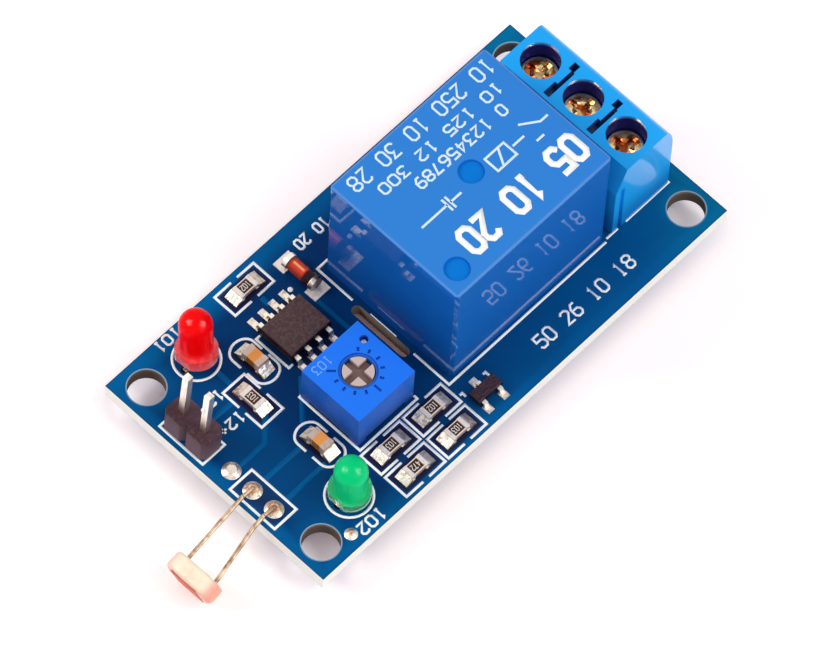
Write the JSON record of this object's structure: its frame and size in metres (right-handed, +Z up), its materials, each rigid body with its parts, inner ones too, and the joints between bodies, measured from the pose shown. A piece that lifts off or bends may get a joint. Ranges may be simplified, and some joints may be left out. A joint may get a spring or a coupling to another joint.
{
  "type": "light sensor relay module",
  "caption": "Blue circuit board with a photoresistor on bent leads, a trimmer, two indicator lamps, a sealed relay and a screw terminal block.",
  "frame": {"origin": "centre of the four mounting holes, on the underside of the board", "axes": "+X toward the screw terminals, the sensor hanging out at -X; +Y across the board toward the red lamp; +Z up from the component side"},
  "size_m": [0.0586, 0.026, 0.0183],
  "materials": {
    "solder_mask": "glossy blue solder mask over glass fibre, pale cut edges",
    "tinned": "bright tin",
    "relay_blue": "glossy blue moulding with white print on top",
    "dark_base": "dark moulding",
    "bobbin": "off-white moulding",
    "copper": "enamelled copper wire",
    "iron": "plated soft iron",
    "contact_alloy": "contact alloy",
    "terminal_blue": "bright blue moulding",
    "screw_brass": "bright plated screw",
    "cage_steel": "plated steel",
    "trimmer_blue": "bright blue moulding",
    "rotor_cream": "cream moulding",
    "ceramic": "white ceramic",
    "red_lens": "tinted translucent epoxy",
    "green_lens": "tinted translucent epoxy over a clear foot",
    "black_plastic": "black moulding",
    "sensor_body": "pale glazed ceramic",
    "sensor_film": "orange-red film",
    "ic_plastic": "dark moulding compound",
    "diode_glass": "red glass with a dark band",
    "resistor": "black coat with white figures between tinned ends",
    "capacitor": "orange-brown ceramic between tinned ends"
  },
  "bodies": {
    "module": {"circuit_board": "solder_mask", "pad_solder": "tinned", "joint_solder": "tinned", "relay_case": "relay_blue", "relay_base": "dark_base", "relay_bobbin": "bobbin", "relay_winding": "copper", "relay_core": "iron", "relay_yoke": "iron", "relay_open_contact": "contact_alloy", "relay_closed_contact": "contact_alloy", "relay_coil_pins": "tinned", "relay_common_pin": "tinned", "terminal_housing": "terminal_blue", "terminal_plates": "tinned", "trimmer_body": "trimmer_blue", "trimmer_element": "ceramic", "trimmer_pins": "tinned", "red_lamp_lens": "red_lens", "red_lamp_leads": "tinned", "green_lamp_lens": "green_lens", "green_lamp_leads": "tinned", "header_block": "black_plastic", "header_pins": "tinned", "sensor_disc": "sensor_body", "sensor_track": "sensor_film", "sensor_leads": "tinned", "comparator_body": "ic_plastic", "comparator_leads": "tinned", "diode_glass": "diode_glass", "diode_ends": "tinned", "transistor_body": "ic_plastic", "transistor_leads": "tinned", "resistor_1": "resistor", "resistor_2": "resistor", "resistor_3": "resistor", "resistor_4": "resistor", "resistor_5": "resistor", "resistor_6": "resistor", "capacitor_1": "capacitor", "capacitor_2": "capacitor"},
    "trimmer_dial": {"trimmer_rotor": "rotor_cream", "trimmer_wiper": "contact_alloy"},
    "armature": {"relay_armature": "iron", "relay_moving_contact": "contact_alloy"},
    "screw_1": {"terminal_screw_1": "screw_brass"},
    "clamp_1": {"terminal_cage_1": "cage_steel"},
    "screw_2": {"terminal_screw_2": "screw_brass"},
    "clamp_2": {"terminal_cage_2": "cage_steel"},
    "screw_3": {"terminal_screw_3": "screw_brass"},
    "clamp_3": {"terminal_cage_3": "cage_steel"}
  },
  "joints": [
    {"name": "trimmer_turn", "type": "hinge", "parent": "module", "child": "trimmer_dial", "pos_m": [-0.01055, -0.0029, 0.0064], "axis": [0, 0, 1], "range_deg": [-130, 130]},
    {"name": "armature_rock", "type": "hinge", "parent": "module", "child": "armature", "pos_m": [-0.00115, 0.0002, 0.012], "axis": [0, 1, 0], "range_deg": [0, 2.7], "stiffness_Nm_per_rad": 0.02, "springref_deg": -2.86},
    {"name": "clamp_1_rise", "type": "slide", "parent": "module", "child": "clamp_1", "axis": [0, 0, 1], "range_m": [0, 0.0018]},
    {"name": "screw_1_turn", "type": "hinge", "parent": "module", "child": "screw_1", "pos_m": [0.0199, -0.00508, 0.0094], "axis": [0, 0, -1], "range_deg": [0, 1440]},
    {"name": "clamp_2_rise", "type": "slide", "parent": "module", "child": "clamp_2", "axis": [0, 0, 1], "range_m": [0, 0.0018]},
    {"name": "screw_2_turn", "type": "hinge", "parent": "module", "child": "screw_2", "pos_m": [0.0199, 0, 0.0094], "axis": [0, 0, -1], "range_deg": [0, 1440]},
    {"name": "clamp_3_rise", "type": "slide", "parent": "module", "child": "clamp_3", "axis": [0, 0, 1], "range_m": [0, 0.0018]},
    {"name": "screw_3_turn", "type": "hinge", "parent": "module", "child": "screw_3", "pos_m": [0.0199, 0.00508, 0.0094], "axis": [0, 0, -1], "range_deg": [0, 1440]}
  ],
  "couplings": [
    {"joint": "screw_1_turn", "follows": "clamp_1_rise", "rad_per_m": 13962},
    {"joint": "screw_2_turn", "follows": "clamp_2_rise", "rad_per_m": 13962},
    {"joint": "screw_3_turn", "follows": "clamp_3_rise", "rad_per_m": 13962}
  ]
}
